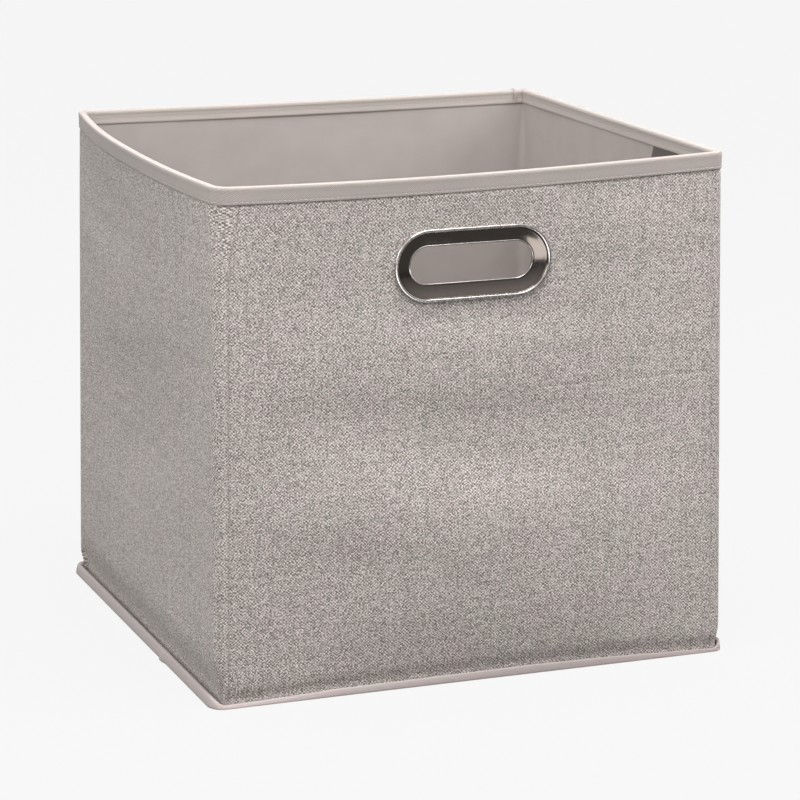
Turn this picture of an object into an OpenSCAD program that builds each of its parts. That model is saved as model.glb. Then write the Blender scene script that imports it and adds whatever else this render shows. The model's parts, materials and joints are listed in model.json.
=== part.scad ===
// Collapsible fabric storage bin: stiffened cloth walls, a bound rim, a hemmed
// foot, an oval pull-out handle in the front wall and a loose base board.
// +Z is up, the handle faces -Y, and the origin is the middle of the footprint.

/* [Overall] */
// Width over the bound rim, left to right
bin_w = 310; // [250:1:400]
// Depth over the bound rim, front to back (no deeper than the width, so that
// the folded side panels do not meet in the middle)
bin_d = 304; // [250:1:400]
// Height from the floor to the top of the rim
bin_h = 308; // [220:1:400]

/* [Walls] */
// Thickness of the woven outer cloth
outer_t = 0.7; // [0.4:0.05:1.2]
// Thickness of the cardboard stiffener in each wall
board_t = 1.8; // [1.2:0.1:4]
// Thickness of the felted lining
lining_t = 0.5; // [0.3:0.05:1]
// Radius of the upright edges of the front and back walls, outside
edge_r = 2.2; // [1.2:0.1:2.4]

/* [Rim binding] */
// Height of the tape folded over the rim
binding_h = 10.5; // [8:0.5:20]
// Thickness of the tape
binding_t = 0.6; // [0.3:0.05:1]

/* [Foot hem] */
// Height of the bound hem round the foot
hem_h = 8; // [5:0.5:14]
// How far the hem stands out from the walls
hem_out = 5; // [2:0.25:8]
// Thickness of the cloth base between the hems
base_t = 1; // [0.6:0.1:2]

/* [Base board] */
// Thickness of the stiff board lying on the cloth base
insert_t = 2.6; // [1.5:0.1:4]
// Thickness of the lining cloth wrapped over it
insert_cover_t = 0.5; // [0.3:0.1:1]
// Gap between the board and the walls on every side
insert_gap = 2.6; // [2.2:0.1:6]

/* [Handle] */
// Length of the oval handle over its flange
handle_w = 97.5; // [80:1:140]
// Height of the oval handle over its flange
handle_h = 43.5; // [36:1:60]
// Width of the flange, from its outer edge to the grip hole
flange_w = 10.5; // [7:0.25:12]
// How far the flange stands out from the cloth at its beaded edge
flange_out = 1.8; // [1.2:0.1:3]
// Depth of the handle's middle below the top of the rim
handle_drop = 56; // [45:0.5:90]
// Thickness of the handle's sheet metal
metal_t = 0.7; // [0.5:0.1:1.2]
// Width of the flat washer that the handle is clenched over, inside
washer_w = 7; // [5:0.25:10]

/* [Care label] */
// Width of the blank label sewn under the rim inside the right wall
label_w = 36; // [20:1:60]
// Height of the label that hangs below the binding
label_h = 22; // [15:1:24]
// Thickness of the label
label_t = 0.5; // [0.3:0.1:0.8]
// Distance from the front wall to the middle of the label
label_from_front = 75; // [60:1:110]

/* [Folding] */
// Gap between neighbouring pieces that move apart
clear = 0.3; // [0.2:0.05:0.5]
// Gap left between the folded side panels and the back wall
back_gap = 2; // [2:0.1:4]
// Gap left between the folded side panels and the front wall
front_gap = 2.6; // [2.6:0.1:5]
// How far the open bin's side cloth springs outwards at the crease
side_bow = 5.2; // [1:0.1:8]

/* [Hidden] */
$fn = 64;

// Overshoot of a cutting solid past the face it cuts
cut = 1;

wall_t = outer_t + board_t + lining_t;
// Outer and inner faces of the walls, measured from the middle of the bin
wall_x = bin_w / 2 - binding_t;
wall_y = bin_d / 2 - binding_t;
inside_x = wall_x - wall_t;
inside_y = wall_y - wall_t;
// The walls stand just above the hem and stop under the tape's fold
wall_z = hem_h + clear;
wall_h = bin_h - binding_t - wall_z;

// Upright fold axes: corner axes lie on the side panels' inner faces, and the
// crease axis lies midway between them, just outside the bowed cloth's tape
back_axis_y = inside_y - back_gap;
front_axis_y = -(inside_y - front_gap);
crease_y = (back_axis_y + front_axis_y) / 2;
crease_x = wall_x + binding_t + side_bow + clear;
echo(corner_axes_xy = [[inside_x, back_axis_y], [inside_x, front_axis_y]],
     crease_axis_xy = [crease_x, crease_y]);
// Ends of the side panels
side_end_y = inside_y - binding_t - clear;
rear_len = side_end_y - crease_y - clear;
front_len = side_end_y + crease_y - clear;

slot_w = handle_w - 2 * flange_w;
slot_h = handle_h - 2 * flange_w;
handle_z = bin_h - handle_drop;
// Half the distance between the centres of the oval's round ends
oval_half = (handle_w - handle_h) / 2;
neck_r = slot_h / 2 + metal_t;
// The hole cut in cloth, board and lining clears the neck
hole_r = neck_r + clear;
washer_t = metal_t;

outer_tone = [0.63, 0.58, 0.54];
lining_tone = [0.68, 0.63, 0.60];
tape_tone = [0.70, 0.64, 0.61];
card_tone = [0.66, 0.52, 0.36];
metal_tone = [0.36, 0.33, 0.32];
label_tone = [0.25, 0.21, 0.19];

// ---- shapes shared by several pieces ----

// Plan of a wall lying along X with its outer face on y = 0; the two upright
// edges of that face are rounded
module wall_plan(len, thick, r) {
    intersection() {
        translate([-len / 2, 0]) square([len, thick]);
        union() {
            translate([-len / 2 + r, 0]) square([len - 2 * r, thick]);
            translate([-len / 2, r]) square([len, thick]);
            for (side = [-1, 1]) translate([side * (len / 2 - r), r]) circle(r);
        }
    }
}

// Upright slab with that plan, standing on z = low
module wall_slab(len, thick, r, low, high) {
    translate([0, 0, low]) linear_extrude(high - low) wall_plan(len, thick, r);
}

// Oval with round ends, as a through cutter along Y
module oval_cutter(r, from_y, to_y) {
    translate([0, to_y, handle_z]) rotate([90, 0, 0]) linear_extrude(to_y - from_y) {
        square([2 * oval_half, 2 * r], center = true);
        for (side = [-1, 1]) translate([side * oval_half, 0]) circle(r);
    }
}

// Carries a profile round the oval; profile x is the distance from the line
// between the end centres, profile y is the height above the cloth
module round_oval() {
    translate([0, 0, handle_z]) rotate([90, 0, 0]) {
        translate([oval_half, 0, 0]) rotate([0, 0, -90])
            rotate_extrude(angle = 180) children();
        translate([-oval_half, 0, 0]) rotate([0, 0, 90])
            rotate_extrude(angle = 180) children();
        for (turn = [0, 180]) rotate([0, 0, turn])
            translate([oval_half, 0, 0]) rotate([90, 0, -90])
                linear_extrude(2 * oval_half) children();
    }
}

// ---- front and back walls: local y runs from the outer face inwards ----

// Outer cloth, wrapped round both upright edges of the board and lining
module end_outer() {
    difference() {
        wall_slab(2 * wall_x, wall_t, edge_r, wall_z, wall_z + wall_h);
        translate([0, outer_t, 0])
            wall_slab(2 * (wall_x - outer_t), wall_t, edge_r - outer_t,
                      wall_z - cut, wall_z + wall_h + cut);
    }
}

module end_board() {
    translate([0, outer_t, 0])
        wall_slab(2 * (wall_x - outer_t), board_t, edge_r - outer_t,
                  wall_z, wall_z + wall_h);
}

module end_lining() {
    translate([-(wall_x - outer_t), outer_t + board_t, wall_z])
        cube([2 * (wall_x - outer_t), lining_t, wall_h]);
}

// Tape folded over the rim and round both ends
module end_binding() {
    difference() {
        translate([0, -binding_t, 0])
            wall_slab(bin_w, wall_t + 2 * binding_t, edge_r + binding_t,
                      bin_h - binding_h, bin_h);
        wall_slab(2 * wall_x, wall_t, edge_r,
                  bin_h - binding_h - cut, bin_h - binding_t);
    }
}

module at_front() { translate([0, -wall_y, 0]) children(); }
module at_back() { mirror([0, 1, 0]) at_front() children(); }

// ---- side panels: local x runs along the panel, local y inwards ----

module side_sheet(len, from_face, thick) {
    translate([0, from_face, wall_z]) cube([len, thick, wall_h]);
}

module side_binding(len) {
    difference() {
        translate([0, -binding_t, bin_h - binding_h])
            cube([len, wall_t + 2 * binding_t, binding_h]);
        translate([-cut, 0, bin_h - binding_h - cut])
            cube([len + 2 * cut, wall_t, binding_h - binding_t + cut]);
    }
}

module at_left_rear() {
    translate([-wall_x, side_end_y, 0]) rotate([0, 0, -90]) children();
}
module at_left_front() {
    translate([-wall_x, crease_y - clear, 0]) rotate([0, 0, -90]) children();
}
module at_right_rear() { mirror([1, 0, 0]) at_left_rear() children(); }
module at_right_front() { mirror([1, 0, 0]) at_left_front() children(); }

// ---- back wall ----

module back_outer() { color(outer_tone) at_back() end_outer(); }
module back_board() { color(card_tone) at_back() end_board(); }
module back_lining() { color(lining_tone) at_back() end_lining(); }
module back_binding() { color(tape_tone) at_back() end_binding(); }

// ---- left side, two panels that fold at the crease ----

module left_rear_outer() {
    color(outer_tone) at_left_rear() side_sheet(rear_len, 0, outer_t);
}
module left_rear_board() {
    color(card_tone) at_left_rear() side_sheet(rear_len, outer_t, board_t);
}
module left_rear_lining() {
    color(lining_tone) at_left_rear()
        side_sheet(rear_len, outer_t + board_t, lining_t);
}
module left_rear_binding() { color(tape_tone) at_left_rear() side_binding(rear_len); }

module left_front_outer() {
    color(outer_tone) at_left_front() side_sheet(front_len, 0, outer_t);
}
module left_front_board() {
    color(card_tone) at_left_front() side_sheet(front_len, outer_t, board_t);
}
module left_front_lining() {
    color(lining_tone) at_left_front()
        side_sheet(front_len, outer_t + board_t, lining_t);
}
module left_front_binding() {
    color(tape_tone) at_left_front() side_binding(front_len);
}

// ---- right side ----

module right_rear_outer() {
    color(outer_tone) at_right_rear() side_sheet(rear_len, 0, outer_t);
}
module right_rear_board() {
    color(card_tone) at_right_rear() side_sheet(rear_len, outer_t, board_t);
}
module right_rear_lining() {
    color(lining_tone) at_right_rear()
        side_sheet(rear_len, outer_t + board_t, lining_t);
}
module right_rear_binding() {
    color(tape_tone) at_right_rear() side_binding(rear_len);
}

module right_front_outer() {
    color(outer_tone) at_right_front() side_sheet(front_len, 0, outer_t);
}
module right_front_board() {
    color(card_tone) at_right_front() side_sheet(front_len, outer_t, board_t);
}
module right_front_lining() {
    color(lining_tone) at_right_front()
        side_sheet(front_len, outer_t + board_t, lining_t);
}
module right_front_binding() {
    color(tape_tone) at_right_front() side_binding(front_len);
}

// Blank label hanging from under the tape on the lining
module care_label() {
    color(label_tone)
        translate([inside_x - label_t,
                   -inside_y + label_from_front - label_w / 2,
                   bin_h - binding_h - clear - label_h])
            cube([label_t, label_w, label_h]);
}

// ---- front wall, with the handle hole through every layer ----

module front_outer() {
    color(outer_tone) at_front() difference() {
        end_outer();
        oval_cutter(hole_r, -cut, wall_t + cut);
    }
}
module front_board() {
    color(card_tone) at_front() difference() {
        end_board();
        oval_cutter(hole_r, -cut, wall_t + cut);
    }
}
module front_lining() {
    color(lining_tone) at_front() difference() {
        end_lining();
        oval_cutter(hole_r, -cut, wall_t + cut);
    }
}
module front_binding() { color(tape_tone) at_front() end_binding(); }

// Pressed sheet-metal face: beaded outer edge, dished flange, raised lip round
// the grip hole and a neck clenched over the washer behind the lining
module handle_face() {
    slot_r = slot_h / 2;
    flange_r = handle_h / 2;
    bead = flange_out / 2;
    lip_out = flange_out * 0.6;
    washer_face = -(wall_t + washer_t);
    clench_out = 1.6;
    color(metal_tone) at_front() round_oval() polygon([
        [slot_r, lip_out],
        [slot_r, washer_face - metal_t],
        [neck_r + clench_out, washer_face - metal_t],
        [neck_r + clench_out, washer_face],
        [neck_r, washer_face],
        [neck_r, 0],
        [flange_r, 0],
        [flange_r, flange_out - bead],
        [flange_r - bead / 2, flange_out],
        [flange_r - bead * 1.5, flange_out],
        [slot_r + flange_w * 0.3, lip_out - metal_t / 2],
        [slot_r + metal_t, lip_out]
    ]);
}

// Flat washer on the lining that the neck is clenched over
module handle_washer() {
    color(metal_tone) at_front() round_oval()
        translate([hole_r, -(wall_t + washer_t)]) square([washer_w, washer_t]);
}

// ---- foot: cloth base inside four lengths of bound hem ----

module hem_run(len) {
    translate([-len / 2, -hem_out, 0]) cube([len, hem_out + wall_t, hem_h]);
}
module hem_front() { color(tape_tone) at_front() hem_run(2 * (wall_x + hem_out)); }
module hem_back() { color(tape_tone) at_back() hem_run(2 * (wall_x + hem_out)); }
module hem_left() {
    color(tape_tone) translate([-wall_x, 0, 0]) rotate([0, 0, -90])
        hem_run(2 * inside_y);
}
module hem_right() { color(tape_tone) mirror([1, 0, 0]) hem_left(); }

module base_cloth() {
    color(outer_tone) translate([-inside_x, -inside_y, 0])
        cube([2 * inside_x, 2 * inside_y, base_t]);
}

// ---- loose base board: card with lining cloth over its top and edges ----

module insert_block(shrink, low, high) {
    half_x = inside_x - insert_gap - shrink;
    half_y = inside_y - insert_gap - shrink;
    translate([-half_x, -half_y, low]) cube([2 * half_x, 2 * half_y, high - low]);
}
module insert_board() {
    color(card_tone) insert_block(insert_cover_t, base_t + clear,
                                  base_t + clear + insert_t);
}
module insert_cover() {
    color(lining_tone) difference() {
        insert_block(0, base_t + clear, base_t + clear + insert_t + insert_cover_t);
        insert_block(insert_cover_t, base_t + clear - cut, base_t + clear + insert_t);
    }
}

back_outer();
back_board();
back_lining();
back_binding();
left_rear_outer();
left_rear_board();
left_rear_lining();
left_rear_binding();
left_front_outer();
left_front_board();
left_front_lining();
left_front_binding();
front_outer();
front_board();
front_lining();
front_binding();
right_front_outer();
right_front_board();
right_front_lining();
right_front_binding();
right_rear_outer();
right_rear_board();
right_rear_lining();
right_rear_binding();
handle_face();
handle_washer();
care_label();
hem_front();
hem_back();
hem_left();
hem_right();
base_cloth();
insert_board();
insert_cover();
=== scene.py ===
import json
import math

import bmesh
import bpy
import numpy as np
from mathutils import Matrix, Vector


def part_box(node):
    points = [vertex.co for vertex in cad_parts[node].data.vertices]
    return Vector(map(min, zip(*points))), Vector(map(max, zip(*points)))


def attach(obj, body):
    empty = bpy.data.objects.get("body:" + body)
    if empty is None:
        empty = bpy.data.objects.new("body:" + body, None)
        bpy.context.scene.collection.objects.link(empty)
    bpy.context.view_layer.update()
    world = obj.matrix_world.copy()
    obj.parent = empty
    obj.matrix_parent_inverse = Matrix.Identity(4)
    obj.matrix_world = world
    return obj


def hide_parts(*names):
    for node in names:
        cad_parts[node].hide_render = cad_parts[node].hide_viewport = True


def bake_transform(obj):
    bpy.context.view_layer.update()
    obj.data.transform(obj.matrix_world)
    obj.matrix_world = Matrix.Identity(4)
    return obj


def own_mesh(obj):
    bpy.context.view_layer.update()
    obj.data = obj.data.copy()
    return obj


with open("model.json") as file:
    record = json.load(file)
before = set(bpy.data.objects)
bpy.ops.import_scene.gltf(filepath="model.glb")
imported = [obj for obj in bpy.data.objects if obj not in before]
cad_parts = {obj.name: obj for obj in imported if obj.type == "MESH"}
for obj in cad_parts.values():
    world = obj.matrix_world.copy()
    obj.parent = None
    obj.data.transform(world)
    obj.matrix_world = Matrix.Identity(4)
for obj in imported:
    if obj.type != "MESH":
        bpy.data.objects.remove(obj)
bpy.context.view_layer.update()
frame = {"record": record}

mm = 0.001

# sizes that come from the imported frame

frontLow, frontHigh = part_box("front_outer")
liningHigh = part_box("front_lining")[1]
tapeLow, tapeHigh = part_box("front_binding")
gripLow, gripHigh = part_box("handle_face")
washerLow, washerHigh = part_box("handle_washer")
labelLow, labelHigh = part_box("care_label")
insertLow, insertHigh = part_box("insert_cover")
boardLow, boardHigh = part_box("front_board")

halfX = frontHigh.x  # middle of the bin to the outer cloth, left and right
halfY = -frontLow.y
wallThick = liningHigh.y - frontLow.y
clothThick = boardLow.y - frontLow.y
boardThick = boardHigh.y - boardLow.y
topZ = tapeHigh.z
tapeThick = tapeHigh.x - halfX
tapeTall = tapeHigh.z - tapeLow.z
joints = {j["name"]: j for j in frame["record"]["behaviour"]["joints"]}
crease = joints["left_crease"]["pos_m"]
creaseX, creaseY = -crease[0], crease[1]

# how the sewn bin really stands

binShape = {
    "cornerRun": 6 * mm,  # radius that the cloth's length round a corner is counted from
    "bodyCorner": {"backRight": 8 * mm, "backLeft": 6 * mm, "near": 6 * mm, "frontRight": 5 * mm},
    "rimCorner": {"backRight": 4.2 * mm, "backLeft": 7 * mm, "near": 13 * mm, "frontRight": 5 * mm},
    "bowRises": 3,  # power of the height with which the rim's bow grows
    "sagRises": 4,
    "cornerOpens": 60 * mm,  # height under the rim over which a corner widens
    "flareX": 5.5 * mm,  # how much further out the foot stands than the rim
    "flareY": 2.5 * mm,
    "rimBow": {"right": 0.2 * mm, "back": 0.0 * mm, "left": 9.5 * mm, "front": 3.9 * mm},
    "bowPeak": {"right": 0.5, "back": 0.5, "left": 0.46, "front": 0.46},  # share along the wall
    "bodyBow": {"right": 0.6 * mm, "back": 0.8 * mm, "left": 0.6 * mm, "front": 0.4 * mm},
    "rimSag": {"right": 0.2 * mm, "back": 0.9 * mm, "left": 0.4 * mm, "front": 1.7 * mm},
    # how many mm hand-sewing leaves each corner from true, at the rim and at the foot
    "rimMoves": {"backRight": (0.8, -0.6, -1.8), "backLeft": (-0.9, 0.2, -0.3),
                 "near": (-3.8, -0.3, -2.8), "frontRight": (2.2, -1.0, 0.6)},
    "footMoves": {"backRight": (0, 0, 0), "backLeft": (-0.9, 0.3, 0),
                  "near": (-2.3, 1.0, 0), "frontRight": (1.2, 0.6, 0)},
    "waves": 0.8 * mm,  # height of the slow waves in the cloth
    # waves round the bin, radians per metre of height and start, for two crossing rows
    "slowWaves": ((4, 14, 0.6), (-2, 21, 1.9)),
    "midWaves": ((9, -31, 2.2), (0, 37, 1.1)),
    "midShare": 0.35,
    # slow bulges: wall, share along it, height, half width (share), half height, how far
    # out, and how its height changes along the wall
    "bulges": [("front", 0.52, 72 * mm, 0.50, 52 * mm, 4.2 * mm, -18 * mm),
               ("front", 0.26, 116 * mm, 0.34, 30 * mm, 1.3 * mm, -70 * mm),
               ("front", 0.44, 196 * mm, 0.46, 25 * mm, 1.7 * mm, -20 * mm),
               ("front", 0.78, 268 * mm, 0.13, 15 * mm, 0.9 * mm, 0.0),
               ("front", 0.90, 118 * mm, 0.14, 28 * mm, 0.8 * mm, 40 * mm),
               ("left", 0.56, 150 * mm, 0.40, 42 * mm, -2.6 * mm, 60 * mm),
               ("left", 0.22, 262 * mm, 0.22, 24 * mm, -1.6 * mm, -50 * mm),
               ("back", 0.45, 120 * mm, 0.42, 42 * mm, 1.6 * mm, 45 * mm),
               ("right", 0.50, 175 * mm, 0.35, 44 * mm, -1.5 * mm, -35 * mm)],
    "calmRound": 24 * mm,  # the waves die out over this distance round the handle
}

sideNames = ["right", "back", "left", "front"]
sideNormal = np.array([[1, 0], [0, 1], [-1, 0], [0, -1]], float)
sideAlong = np.array([[0, 1], [-1, 0], [0, -1], [1, 0]], float)
sideReach = np.array([halfX, halfY, halfX, halfY])
sideHalf = np.array([halfY, halfX, halfY, halfX])
sideFlare = np.array([binShape["flareX"], binShape["flareY"]] * 2)
rimBow = np.array([binShape["rimBow"][n] for n in sideNames])
bodyBow = np.array([binShape["bodyBow"][n] for n in sideNames])
rimSag = np.array([binShape["rimSag"][n] for n in sideNames])
bowPeak = np.array([binShape["bowPeak"][n] for n in sideNames])
cornerNames = ["backRight", "backLeft", "near", "frontRight"]
bodyCorner = np.array([binShape["bodyCorner"][n] for n in cornerNames])
rimCorner = np.array([binShape["rimCorner"][n] for n in cornerNames])
rimMoves = np.array([binShape["rimMoves"][n] for n in cornerNames], float) * mm
footMoves = np.array([binShape["footMoves"][n] for n in cornerNames], float) * mm

# the way round starts at the crease of the right wall and runs by the back
cornerRun = math.pi / 2 * binShape["cornerRun"]
longX = 2 * (halfX - binShape["cornerRun"])
longY = 2 * (halfY - binShape["cornerRun"])
rightRearRun = longY / 2 - creaseY
runs = np.array([rightRearRun, cornerRun, longX, cornerRun, longY,
                 cornerRun, longX, cornerRun, longY - rightRearRun])
runStart = np.concatenate([[0], np.cumsum(runs)])
runSide = np.array([0, 0, 1, 1, 2, 2, 3, 3, 0])
wayRound = runStart[-1]


def smoothStep(x):
    x = np.clip(x, 0, 1)
    return x * x * (3 - 2 * x)


def placeOnWay(s):
    # side, share along it and whether it is a corner, for each distance round
    run = np.clip(np.searchsorted(runStart, s, side="right") - 1, 0, len(runs) - 1)
    share = (s - runStart[run]) / runs[run]
    share = np.where(run == 0, 1 - (1 - share) * rightRearRun / longY, share)
    share = np.where(run == len(runs) - 1, share * (1 - rightRearRun / longY), share)
    return runSide[run], share, run % 2 == 1


def clothWaves(s, z):
    turn = 2 * math.pi * s / wayRound  # whole waves round the bin, so the ends meet

    def crossing(rows):
        (around, up, start), (around2, up2, start2) = rows
        return (np.sin(around * turn + up * z + start)
                * np.sin(around2 * turn + up2 * z + start2))

    slow, mid = crossing(binShape["slowWaves"]), crossing(binShape["midWaves"])
    return binShape["waves"] * (slow + binShape["midShare"] * mid)


def clothBulges(side, share, z):
    out = np.zeros_like(z)
    for wall, at, up, wide, tall, far, fall in binShape["bulges"]:
        middle = up + fall * (share - at)
        here = far * np.exp(-((share - at) / wide) ** 2 - ((z - middle) / tall) ** 4)
        out = out + np.where(side == sideNames.index(wall), here, 0)
    return out


def wallPoint(s, z, inset, waves=1.0):
    # Points of the standing bin: s round the wall, z up, inset inwards from the outer cloth
    s, z, inset = np.broadcast_arrays(np.asarray(s, float), z, inset)
    side, share, corner = placeOnWay(s)
    height = np.clip(z / topZ, 0, 1)
    opened = smoothStep(1 - (topZ - z) / binShape["cornerOpens"])
    cornerRadius = bodyCorner + (rimCorner - bodyCorner) * opened[..., None]

    def radiusAt(which):
        return np.take_along_axis(cornerRadius, which[..., None], -1)[..., 0]

    radius = radiusAt(side)
    flare = sideFlare * (1 - height)[..., None]
    reach = sideReach[side] + np.take_along_axis(flare, side[..., None], -1)[..., 0]
    other = (side + 1) % 4
    half = sideHalf[side] + np.take_along_axis(flare, other[..., None], -1)[..., 0]
    peak = bowPeak[side]
    middle = np.where(share < peak, 1 - ((peak - share) / peak) ** 2,
                      1 - ((share - peak) / (1 - peak)) ** 2)
    middle = np.where(corner, 0, np.clip(middle, 0, 1))
    bow = middle * (rimBow[side] * height ** binShape["bowRises"]
                    + bodyBow[side] * np.sin(math.pi * height))
    before = half - radiusAt((side + 3) % 4)
    ahead = share * (half - radius) - (1 - share) * before
    calm = smoothStep((gripDistance(ahead, z) - gripHalfTall) / binShape["calmRound"])
    calm = np.where(side == 3, calm, 1)
    ripple = (clothWaves(s, z) * waves + clothBulges(side, share, z)) * middle ** 0.5 * calm
    angle = share * math.pi / 2
    outward, along = sideNormal[side], sideAlong[side]
    flat = outward * (reach - inset + bow + ripple)[..., None] + along * ahead[..., None]
    turn = (outward * np.cos(angle)[..., None] + along * np.sin(angle)[..., None])
    rounded = (outward * (reach - radius)[..., None] + along * (half - radius)[..., None]
              + turn * (radius - inset)[..., None])
    xy = np.where(corner[..., None], rounded, flat)
    sag = middle * rimSag[side] * height ** binShape["sagRises"]
    point = np.concatenate([xy, (z - sag)[..., None]], -1)
    u, v = xy[..., 0] / (2 * halfX) + 0.5, xy[..., 1] / (2 * halfY) + 0.5
    share4 = np.stack([u * v, (1 - u) * v, (1 - u) * (1 - v), u * (1 - v)], -1)
    rise = height[..., None]
    return point + share4 @ rimMoves * rise + share4 @ footMoves * (1 - rise)


# mesh helpers

def newPiece(name, points, faces, material, uv=None, smooth=True):
    mesh = bpy.data.meshes.new(name)
    mesh.from_pydata([tuple(p) for p in points], [], [tuple(f) for f in faces])
    piece = bpy.data.objects.new(name, mesh)
    bpy.context.scene.collection.objects.link(piece)
    mesh.materials.append(material)
    mesh.polygons.foreach_set("use_smooth", [smooth] * len(mesh.polygons))
    if uv is not None:
        layer = mesh.uv_layers.new(name="ClothMap")
        corners = np.zeros(len(mesh.loops), int)
        mesh.loops.foreach_get("vertex_index", corners)
        layer.data.foreach_set("uv", np.asarray(uv)[corners].astype(np.float32).ravel())
    mesh.update()
    return piece


def gridFaces(rows, columns, wrap=False, skip=None, flip=False):
    # Quads of a grid whose points are stored row after row
    faces = []
    for i in range(rows - 1):
        for j in range(columns if wrap else columns - 1):
            if skip is not None and skip[i, j]:
                continue
            k = (j + 1) % columns
            quad = [i * columns + j, i * columns + k,
                    (i + 1) * columns + k, (i + 1) * columns + j]
            faces.append(quad[::-1] if flip else quad)
    return faces


def slabFaces(faces, count):
    # A slab between two like grids of count points: both faces and its edges
    ahead = {(p, q) for f in faces for p, q in zip(f, f[1:] + f[:1])}
    rim = [(p, q) for f in faces for p, q in zip(f, f[1:] + f[:1]) if (q, p) not in ahead]
    return (faces + [[v + count for v in f][::-1] for f in faces]
            + [[q, p, p + count, q + count] for p, q in rim])


def steps(low, high, pitch):
    return np.linspace(low, high, max(2, int(round((high - low) / pitch)) + 1))


def wayStations(low, high, pitch):
    # Distances round the wall from low to high, close together in the corners
    marks = [low] + [m for m in runStart if low + 1e-6 < m < high - 1e-6] + [high]
    found = []
    for a, b in zip(marks[:-1], marks[1:]):
        inCorner = placeOnWay(np.array([(a + b) / 2]))[2][0]
        found.append(steps(a, b, pitch / 4 if inCorner else pitch)[:-1])
    return np.concatenate(found + [[high]])


# the five lengths that the cloth is cut into, one across each fold

seamGap = 4.6 * mm  # from a corner to the cut beside it
cuts = [0.0, runStart[2] + seamGap, runStart[4] + seamGap, runStart[5] - seamGap,
        runStart[7] - seamGap, wayRound]
lengths = ["RightRear", "Back", "Left", "Front", "RightFront"]


def foldAcross(piece):
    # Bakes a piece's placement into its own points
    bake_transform(piece)


# materials

def newMaterial(name):
    material = bpy.data.materials.new(name)
    material.use_nodes = True
    tree = material.node_tree
    return material, tree, tree.nodes["Principled BSDF"]


class Nodes:
    def __init__(self, tree):
        self.tree = tree

    def add(self, kind, **settings):
        node = self.tree.nodes.new(kind)
        for key, value in settings.items():
            setattr(node, key, value)
        return node

    def feed(self, socket, value):
        if isinstance(value, bpy.types.NodeSocket):
            self.tree.links.new(value, socket)
        else:
            socket.default_value = value

    def math(self, operation, a, b=0.0, c=0.0):
        node = self.add("ShaderNodeMath", operation=operation)
        for socket, value in zip(node.inputs, (a, b, c)):
            self.feed(socket, value)
        return node.outputs[0]

    def noise(self, vector, scale, detail=2.0, rough=0.5):
        node = self.add("ShaderNodeTexNoise")
        self.feed(node.inputs["Vector"], vector)
        node.inputs["Scale"].default_value = scale
        node.inputs["Detail"].default_value = detail
        node.inputs["Roughness"].default_value = rough
        return node.outputs["Fac"]

    def random(self, value):
        node = self.add("ShaderNodeTexWhiteNoise", noise_dimensions="1D")
        self.feed(node.inputs["W"], value)
        return node.outputs["Value"]

    def join(self, x, y, z=0.0):
        node = self.add("ShaderNodeCombineXYZ")
        for socket, value in zip(node.inputs, (x, y, z)):
            self.feed(socket, value)
        return node.outputs[0]

    def split(self, vector):
        node = self.add("ShaderNodeSeparateXYZ")
        self.feed(node.inputs[0], vector)
        return node.outputs

    def span(self, value, low, high, toLow, toHigh):
        node = self.add("ShaderNodeMapRange")
        for socket, part in zip(node.inputs, (value, low, high, toLow, toHigh)):
            self.feed(socket, part)
        return node.outputs[0]

    def spread(self, value, toLow, toHigh):
        # a noise's usual range turned into toLow to toHigh
        return self.span(value, 0.3, 0.7, toLow, toHigh)

    def around(self, value, swing):
        return self.spread(value, -swing, swing)

    def blend(self, share, a, b):
        node = self.add("ShaderNodeMix", data_type="RGBA")
        self.feed(node.inputs["Factor"], share)
        self.feed(node.inputs["A"], a)
        self.feed(node.inputs["B"], b)
        return node.outputs["Result"]

    def tint(self, colour, value):
        # the colour times the value
        node = self.add("ShaderNodeVectorMath", operation="SCALE")
        self.feed(node.inputs[0], colour)
        self.feed(node.inputs["Scale"], value)
        return node.outputs[0]

    def times(self, a, b):
        node = self.add("ShaderNodeVectorMath", operation="MULTIPLY")
        self.feed(node.inputs[0], a)
        self.feed(node.inputs[1], b)
        return node.outputs[0]

    def bump(self, height, distance, strength=1.0):
        node = self.add("ShaderNodeBump")
        self.feed(node.inputs["Height"], height)
        node.inputs["Distance"].default_value = distance
        node.inputs["Strength"].default_value = strength
        return node.outputs["Normal"]


weave = {
    "pitch": 1.03 * mm,  # from yarn to yarn, both ways
    "light": (0.775, 0.722, 0.684, 1),
    "dark": (0.195, 0.170, 0.153, 1),
    "cool": (0.995, 0.995, 0.98, 1),  # slow drift of the dye between two tints
    "rosy": (1.015, 0.985, 1.0, 1),
    "closer": 1.06,  # how much closer the weft lies than the warp
    "wobbleScale": 160.0,  # slow drift of both yarns: noise scale, and pitches
    "wobble": 1.6,
    "wander": 0.45,  # how far a single yarn strays, in pitches
    "changes": 0.22,  # how fast a yarn changes along its length, per pitch
    "middle": 0.38,  # share of the light colour where neither yarn is on top
    "yarnTone": 0.10,  # how much the tone differs from yarn to yarn
    "slubTone": 0.05,  # along a yarn
    "cellTone": 0.32,  # from crossing to crossing
    "fibreTone": 0.09,  # and from fibre to fibre
    "fibreScale": 1500.0,
    "patchScale": 0.4,  # per pitch
    "dyeScale": 30.0,
    "shade": (0.80, 1.03),  # painted shade between the yarns, and a faint painted highlight on their crowns
    "contrast": (0.16, 0.54),  # how far the two yarns differ, from place to place
    "bump": 0.30 * mm,
    "bumpShare": 0.55,
    "roughness": 0.92,
    "sheen": 0.12,
    "sheenRoughness": 0.5,
    "specular": 0.25,
}


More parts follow.
